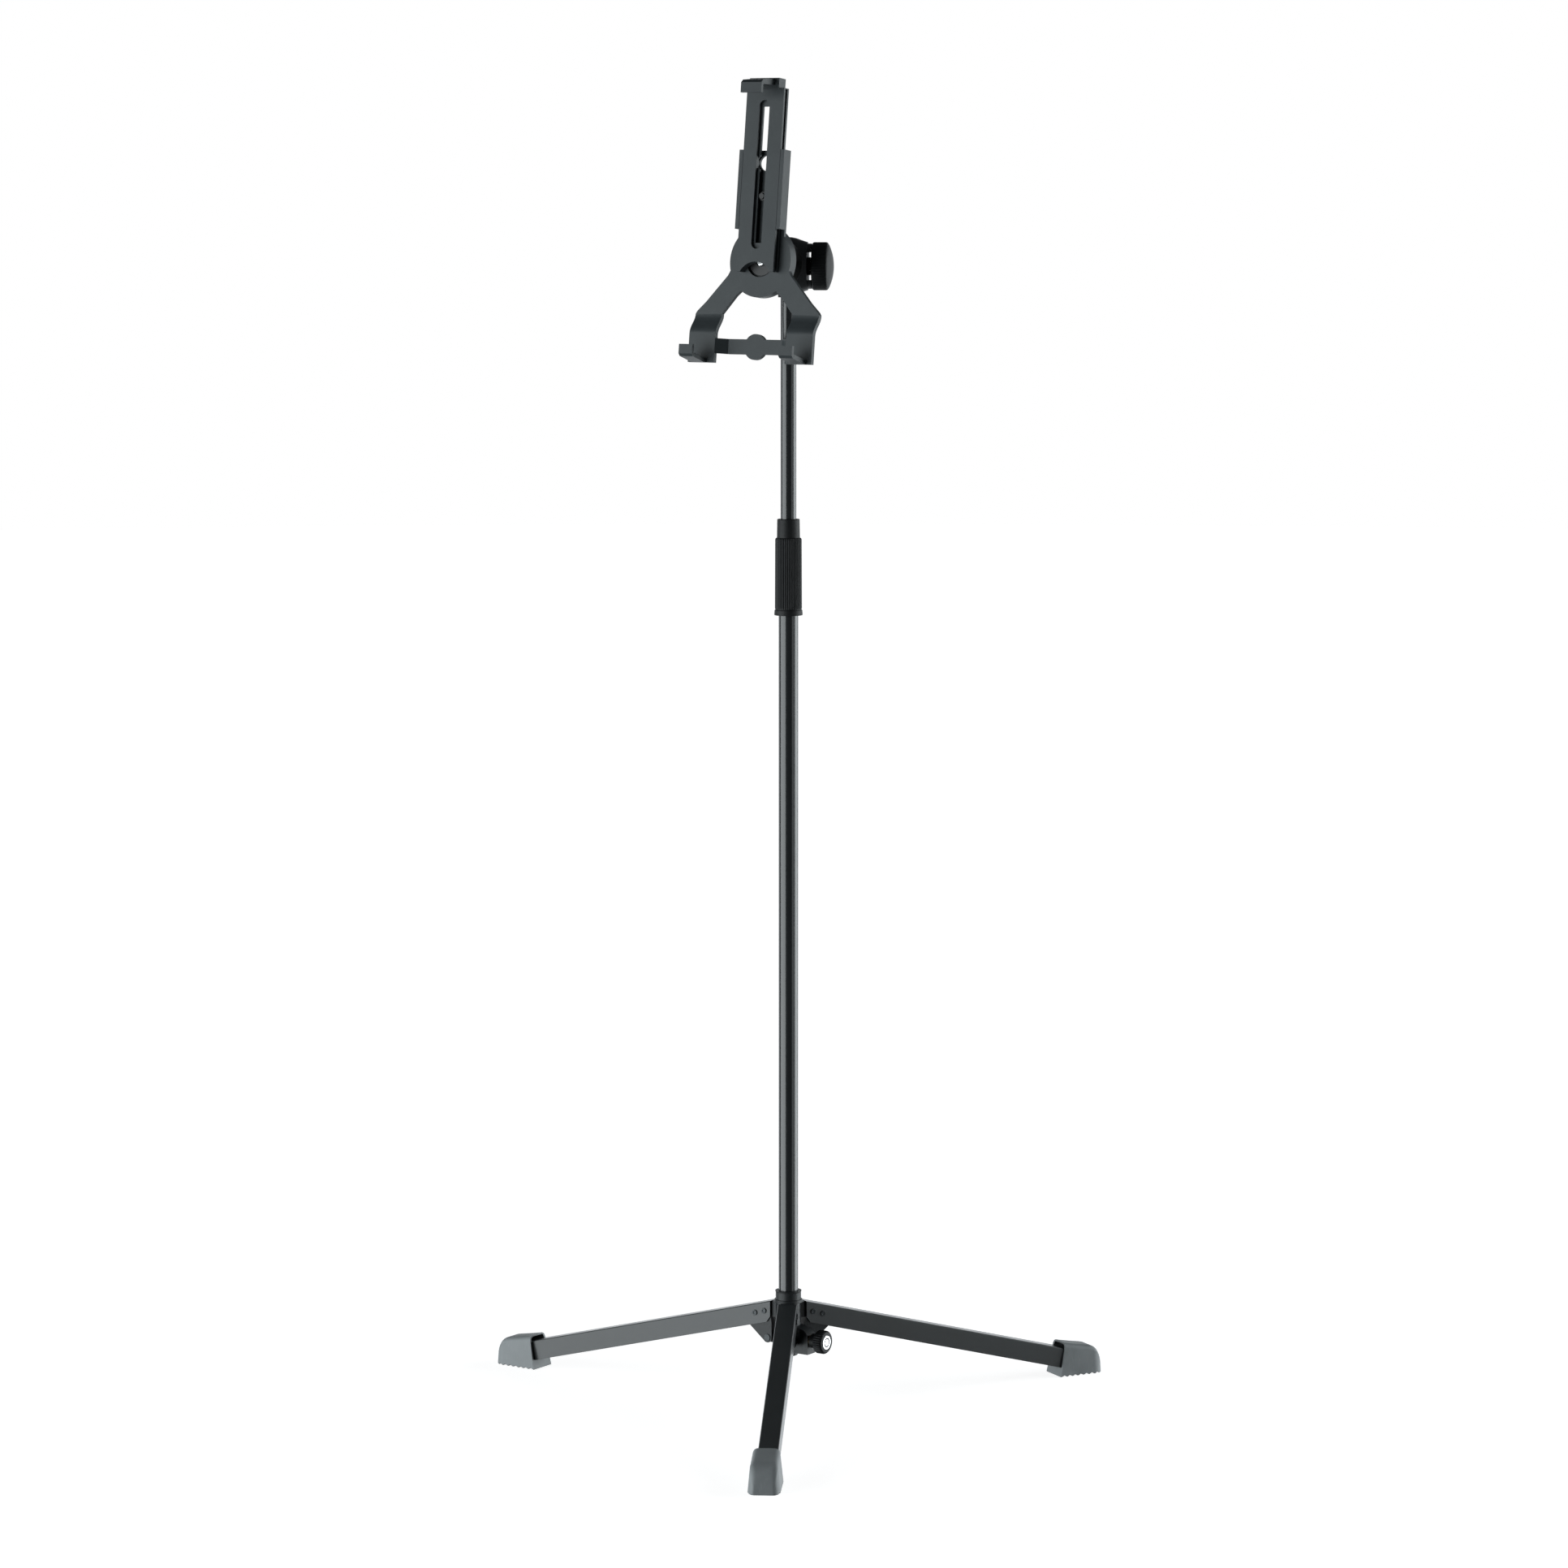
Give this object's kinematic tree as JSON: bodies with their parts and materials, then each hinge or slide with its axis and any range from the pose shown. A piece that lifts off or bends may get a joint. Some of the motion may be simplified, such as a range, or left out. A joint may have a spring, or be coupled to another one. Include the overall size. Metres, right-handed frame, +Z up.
{
  "type": "tablet music stand",
  "caption": "Music stand with a folding tripod base, telescopic tube, ball joint and a spring-free sliding clamp that holds a tablet.",
  "frame": {"origin": "on the floor, on the axis of the tube, with the legs spread and the rod and clamp as in the picture", "axes": "+Z up along the tube, -Y towards the player, +X to the side of the base knob"},
  "size_m": [0.5583, 0.643, 1.3498],
  "materials": {
    "tube_coating": "glossy powder coat",
    "leg_coating": "satin powder coat",
    "hub_coating": "satin powder coat",
    "grip_plastic": "fine ribs, matte",
    "joint_plastic": "fine grain",
    "holder_plastic": "fine grain",
    "black_plastic": "smooth",
    "foot_rubber": "matte",
    "nylon": "smooth",
    "brass": "turned",
    "steel": "zinc plated",
    "rivet_steel": "blackened",
    "chrome": "bright"
  },
  "bodies": {
    "column": {"lower_tube": "tube_coating", "tube_end_plug": "black_plastic", "clutch_collet": "nylon"},
    "hub": {"base_hub": "hub_coating", "leg_pin_a": "rivet_steel", "leg_pin_b": "rivet_steel", "leg_pin_c": "rivet_steel", "clamp_insert": "brass", "clamp_pad": "nylon"},
    "base_knob": {"base_knob": "grip_plastic", "base_knob_stud": "steel", "base_knob_cap": "chrome"},
    "leg_a": {"leg_a": "leg_coating", "knuckle_a": "hub_coating", "leg_rivets_a": "rivet_steel", "foot_a": "foot_rubber"},
    "leg_b": {"leg_b": "leg_coating", "knuckle_b": "hub_coating", "leg_rivets_b": "rivet_steel", "foot_b": "foot_rubber"},
    "leg_c": {"leg_c": "leg_coating", "knuckle_c": "hub_coating", "leg_rivets_c": "rivet_steel", "foot_c": "foot_rubber"},
    "clutch": {"clutch_sleeve": "grip_plastic"},
    "bush": {"rod_bush": "nylon"},
    "rod": {"upper_rod": "tube_coating", "socket_housing": "joint_plastic", "joint_insert": "brass", "joint_pad": "nylon"},
    "joint_knob": {"joint_knob": "grip_plastic", "joint_knob_stud": "steel"},
    "liner": {"ball_liner": "nylon"},
    "stem": {"ball_stem": "joint_plastic", "swivel_washer": "black_plastic", "swivel_screw": "chrome"},
    "bracket": {"lower_bracket": "holder_plastic", "slide_stop": "black_plastic"},
    "slider": {"upper_slider": "holder_plastic"}
  },
  "joints": [
    {"name": "hub_slide", "type": "slide", "parent": "column", "child": "hub", "axis": [0, 0, 1], "range_m": [0, 0.29]},
    {"name": "leg_a_fold", "type": "hinge", "parent": "hub", "child": "leg_a", "pos_m": [-0.0205, 0, 0.0705], "axis": [0, -1, 0], "range_deg": [0, 75]},
    {"name": "leg_b_fold", "type": "hinge", "parent": "hub", "child": "leg_b", "pos_m": [0.01025, 0.01775, 0.0705], "axis": [-0.866, 0.5, 0], "range_deg": [0, 75]},
    {"name": "leg_c_fold", "type": "hinge", "parent": "hub", "child": "leg_c", "pos_m": [0.01025, -0.01775, 0.0705], "axis": [0.866, 0.5, 0], "range_deg": [0, 75]},
    {"name": "base_knob_turn", "type": "hinge", "parent": "hub", "child": "base_knob", "pos_m": [0.04, 0, 0.072], "axis": [1, 0, 0], "range_deg": [0, 720]},
    {"name": "clutch_turn", "type": "hinge", "parent": "column", "child": "clutch", "pos_m": [0, 0, 0.86], "axis": [0, 0, 1], "range_deg": [0, 180]},
    {"name": "rod_height", "type": "slide", "parent": "column", "child": "bush", "axis": [0, 0, 1], "range_m": [-0.215, 0.25]},
    {"name": "rod_turn", "type": "hinge", "parent": "bush", "child": "rod", "pos_m": [0, 0, 0.86], "axis": [0, 0, 1], "continuous": true},
    {"name": "joint_knob_turn", "type": "hinge", "parent": "rod", "child": "joint_knob", "pos_m": [0, 0, 1.164], "axis": [0.8746, 0.4848, 0], "range_deg": [0, 720]},
    {"name": "holder_yaw", "type": "hinge", "parent": "rod", "child": "liner", "pos_m": [0, 0, 1.164], "axis": [0, 0, 1], "range_deg": [-25, 25]},
    {"name": "holder_tilt", "type": "hinge", "parent": "liner", "child": "stem", "pos_m": [0, 0, 1.164], "axis": [-1, 0, 0], "range_deg": [-20, 30]},
    {"name": "holder_swivel", "type": "hinge", "parent": "stem", "child": "bracket", "pos_m": [0, 0, 1.164], "axis": [0, -0.9938, 0.1115], "range_deg": [-90, 90]},
    {"name": "holder_extend", "type": "slide", "parent": "bracket", "child": "slider", "axis": [0, 0.1115, 0.9938], "range_m": [-0.058, 0.025]}
  ]
}
